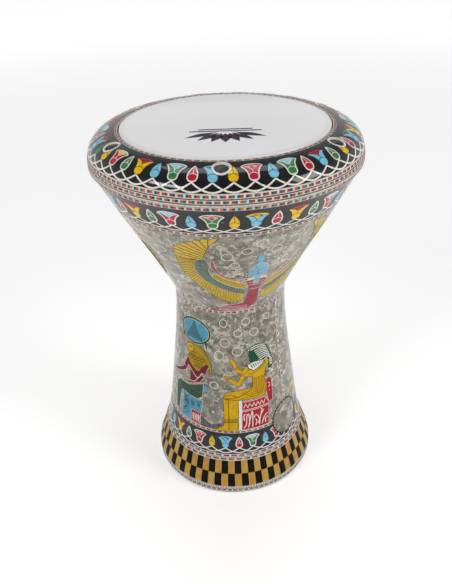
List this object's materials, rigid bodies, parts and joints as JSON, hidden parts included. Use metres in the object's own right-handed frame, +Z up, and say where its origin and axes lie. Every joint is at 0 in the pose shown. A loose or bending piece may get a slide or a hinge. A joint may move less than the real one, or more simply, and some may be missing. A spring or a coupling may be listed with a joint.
{
  "type": "darbuka",
  "caption": "Goblet drum: cast metal shell open at the foot, plastic head under a cast clamp ring held by recessed cap screws, mosaic skin.",
  "frame": {"origin": "centre of the circle that the foot stands on", "axes": "+Z up along the drum's axis, with the front of the drum towards -Y"},
  "size_m": [0.28, 0.28, 0.43],
  "materials": {
    "cast_aluminium": "cast and turned, satin",
    "bright_steel": "plated cap screws and washers",
    "drum_film": "smooth coated polyester film",
    "potting_resin": "cured epoxy",
    "shell_mosaic": "pearl shell chips under clear lacquer",
    "black_inlay": "black ground with coloured lotus inlay under clear lacquer",
    "mosaic_strip": "cream strip with small red and blue squares under clear lacquer",
    "gold_checks": "gold and black tiles under clear lacquer",
    "white_inlay": "white ring under clear lacquer"
  },
  "bodies": {
    "drum_shell": {"shell": "cast_aluminium", "foot_rim_band": "shell_mosaic", "foot_check_band": "gold_checks", "foot_double_strip": "mosaic_strip", "foot_lotus_band": "black_inlay", "stem_base_strip": "mosaic_strip", "stem_skin": "shell_mosaic", "stem_seam_strip": "mosaic_strip", "medallion": "shell_mosaic", "medallion_border": "mosaic_strip", "neck_strip": "mosaic_strip", "bowl_skin": "shell_mosaic", "bowl_strip": "mosaic_strip", "bowl_lotus_band": "black_inlay", "shoulder_strip": "mosaic_strip", "head_film": "drum_film", "head_hoop": "cast_aluminium", "hoop_resin": "potting_resin"},
    "ring": {"clamp_ring": "cast_aluminium", "ring_lower_strip": "mosaic_strip", "ring_upper_strip": "mosaic_strip", "ring_lotus_band": "black_inlay", "ring_inner_strip": "mosaic_strip", "screw_collar_1": "white_inlay", "screw_collar_2": "white_inlay", "screw_collar_3": "white_inlay", "screw_collar_4": "white_inlay", "screw_collar_5": "white_inlay", "screw_collar_6": "white_inlay", "screw_washer_1": "bright_steel", "screw_washer_2": "bright_steel", "screw_washer_3": "bright_steel", "screw_washer_4": "bright_steel", "screw_washer_5": "bright_steel", "screw_washer_6": "bright_steel"},
    "screw_1": {"tension_screw_1": "bright_steel"},
    "screw_2": {"tension_screw_2": "bright_steel"},
    "screw_3": {"tension_screw_3": "bright_steel"},
    "screw_4": {"tension_screw_4": "bright_steel"},
    "screw_5": {"tension_screw_5": "bright_steel"},
    "screw_6": {"tension_screw_6": "bright_steel"}
  },
  "joints": [
    {"name": "ring_lift", "type": "slide", "parent": "drum_shell", "child": "ring", "axis": [0, 0, 1], "range_m": [0, 0.017]},
    {"name": "screw_1_turn", "type": "hinge", "parent": "ring", "child": "screw_1", "pos_m": [-0.00419, -0.11993, 0.414], "axis": [0, 0, 1], "range_deg": [0, 6130]},
    {"name": "screw_2_turn", "type": "hinge", "parent": "ring", "child": "screw_2", "pos_m": [0.10177, -0.06359, 0.414], "axis": [0, 0, 1], "range_deg": [0, 6130]},
    {"name": "screw_3_turn", "type": "hinge", "parent": "ring", "child": "screw_3", "pos_m": [0.10595, 0.05634, 0.414], "axis": [0, 0, 1], "range_deg": [0, 6130]},
    {"name": "screw_4_turn", "type": "hinge", "parent": "ring", "child": "screw_4", "pos_m": [0.00419, 0.11993, 0.414], "axis": [0, 0, 1], "range_deg": [0, 6130]},
    {"name": "screw_5_turn", "type": "hinge", "parent": "ring", "child": "screw_5", "pos_m": [-0.10177, 0.06359, 0.414], "axis": [0, 0, 1], "range_deg": [0, 6130]},
    {"name": "screw_6_turn", "type": "hinge", "parent": "ring", "child": "screw_6", "pos_m": [-0.10595, -0.05634, 0.414], "axis": [0, 0, 1], "range_deg": [0, 6130]}
  ],
  "couplings": [
    {"joint": "screw_1_turn", "follows": "ring_lift", "rad_per_m": 6283.2},
    {"joint": "screw_2_turn", "follows": "ring_lift", "rad_per_m": 6283.2},
    {"joint": "screw_3_turn", "follows": "ring_lift", "rad_per_m": 6283.2},
    {"joint": "screw_4_turn", "follows": "ring_lift", "rad_per_m": 6283.2},
    {"joint": "screw_5_turn", "follows": "ring_lift", "rad_per_m": 6283.2},
    {"joint": "screw_6_turn", "follows": "ring_lift", "rad_per_m": 6283.2}
  ]
}
